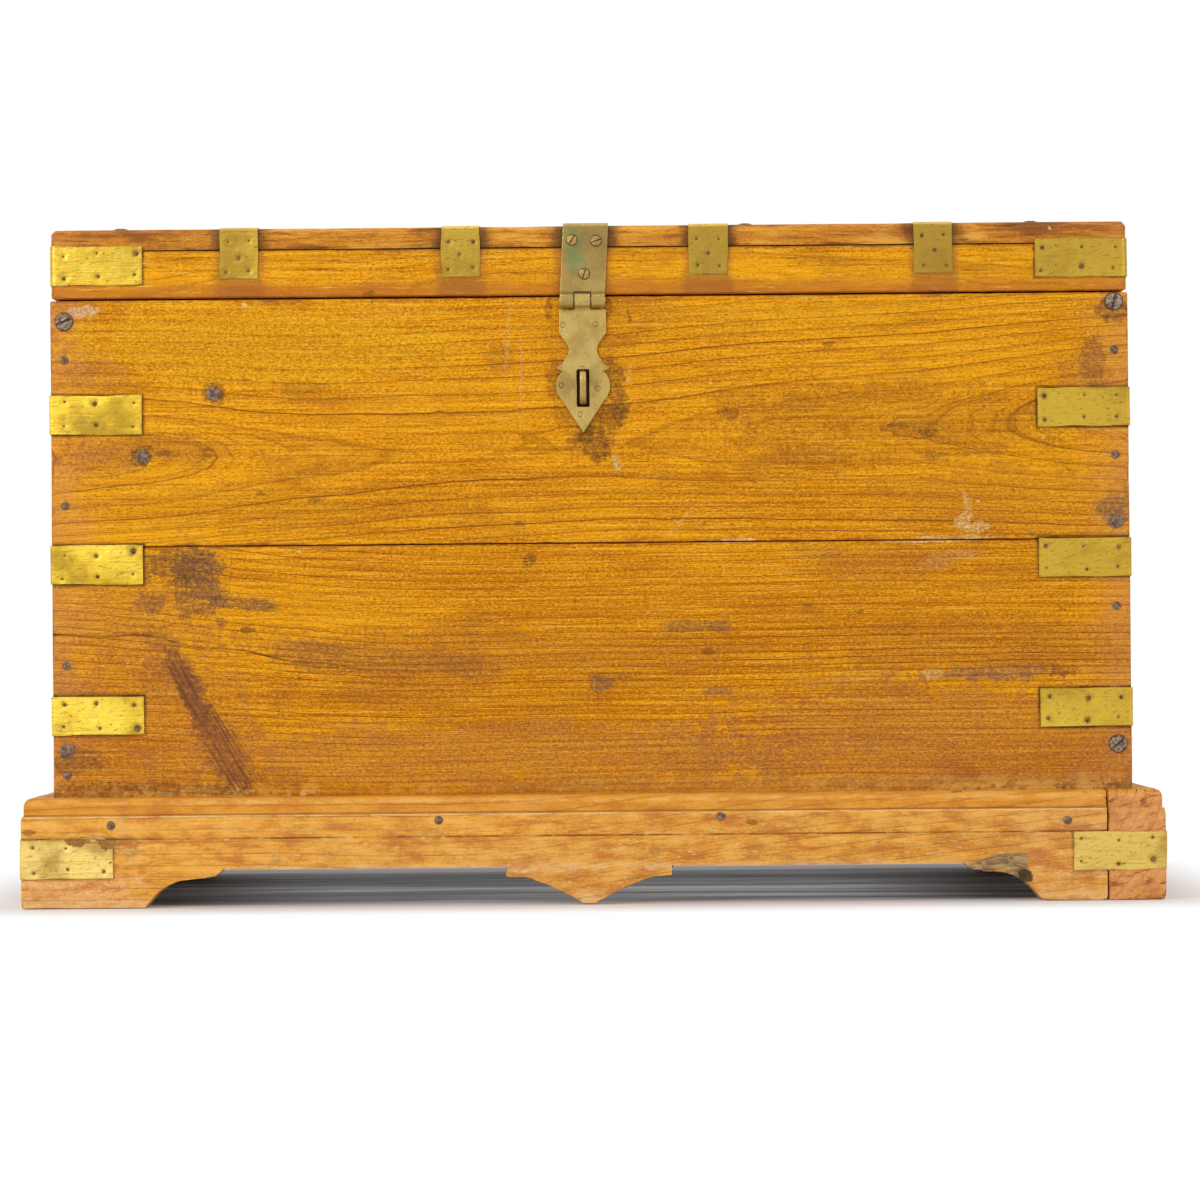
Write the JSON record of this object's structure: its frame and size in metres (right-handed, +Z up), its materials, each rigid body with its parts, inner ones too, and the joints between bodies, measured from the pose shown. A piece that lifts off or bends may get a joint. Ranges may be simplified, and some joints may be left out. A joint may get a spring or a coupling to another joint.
{
  "type": "dowry chest",
  "caption": "Wooden storage chest on a moulded plinth, with a hinged lid, brass corner straps, a pierced hasp over a staple and a swinging handle on each end.",
  "frame": {"origin": "on the floor under the middle of the plinth, the centre of the bottom of the bounding box", "axes": "+X to the right along the front, the front with the hasp faces -Y, +Z up"},
  "size_m": [0.8564, 0.4464, 0.5112],
  "materials": {
    "teak": "waxed, golden-brown, worn arrises",
    "strap_brass": "hand-polished sheet, dented and scratched",
    "aged_brass": "aged brown-green patina, satin",
    "strap_nail": "dull, darkened heads",
    "iron_fixings": "dark, oxidised, worn bright on the crowns"
  },
  "bodies": {
    "chest": {"plinth_front": "teak", "plinth_back": "teak", "plinth_left": "teak", "plinth_right": "teak", "plinth_corner_blocks": "teak", "carcase_front_lower": "teak", "carcase_front_upper": "teak", "carcase_back_lower": "teak", "carcase_back_upper": "teak", "carcase_left_lower": "teak", "carcase_left_upper": "teak", "carcase_right_lower": "teak", "carcase_right_upper": "teak", "bottom_board_front": "teak", "bottom_board_middle": "teak", "bottom_board_back": "teak", "bottom_cleat_front": "teak", "bottom_cleat_back": "teak", "till_wall": "teak", "till_bottom": "teak", "corner_straps_front_left": "strap_brass", "corner_straps_front_right": "strap_brass", "corner_straps_back_left": "strap_brass", "corner_straps_back_right": "strap_brass", "strap_nails_chest": "strap_nail", "carcase_screws": "iron_fixings", "carcase_nails": "iron_fixings", "staple": "aged_brass", "hinge_chest_leaf_left": "aged_brass", "hinge_chest_leaf_right": "aged_brass", "hinge_pins": "aged_brass", "handle_plate_left": "aged_brass", "handle_plate_right": "aged_brass", "chest_hardware_screws": "aged_brass"},
    "lid": {"lid_board_front": "teak", "lid_board_back": "teak", "lid_rail_front": "teak", "lid_rail_back": "teak", "lid_rail_left": "teak", "lid_rail_right": "teak", "lid_batten_left": "teak", "lid_batten_right": "teak", "lid_corner_strap_front_left": "strap_brass", "lid_corner_strap_front_right": "strap_brass", "lid_corner_strap_back_left": "strap_brass", "lid_corner_strap_back_right": "strap_brass", "lid_edge_straps": "strap_brass", "strap_nails_lid": "strap_nail", "lid_nails": "iron_fixings", "hasp_plate": "aged_brass", "hasp_pin": "aged_brass", "hinge_lid_leaf_left": "aged_brass", "hinge_lid_leaf_right": "aged_brass", "lid_hardware_screws": "aged_brass"},
    "hasp": {"hasp_strap": "aged_brass"},
    "bail_left": {"handle_bail_left": "aged_brass"},
    "bail_right": {"handle_bail_right": "aged_brass"}
  },
  "joints": [
    {"name": "lid_hinge", "type": "hinge", "parent": "chest", "child": "lid", "pos_m": [0, 0.2054, 0.4557], "axis": [-1, 0, 0], "range_deg": [0, 110]},
    {"name": "hasp_hinge", "type": "hinge", "parent": "lid", "child": "hasp", "pos_m": [-0.0048, -0.2059, 0.4515], "axis": [-1, 0, 0], "range_deg": [0, 170]},
    {"name": "bail_left_swing", "type": "hinge", "parent": "chest", "child": "bail_left", "pos_m": [-0.414, 0, 0.33], "axis": [0, 1, 0], "range_deg": [0, 175]},
    {"name": "bail_right_swing", "type": "hinge", "parent": "chest", "child": "bail_right", "pos_m": [0.414, 0, 0.33], "axis": [0, -1, 0], "range_deg": [0, 175]}
  ]
}
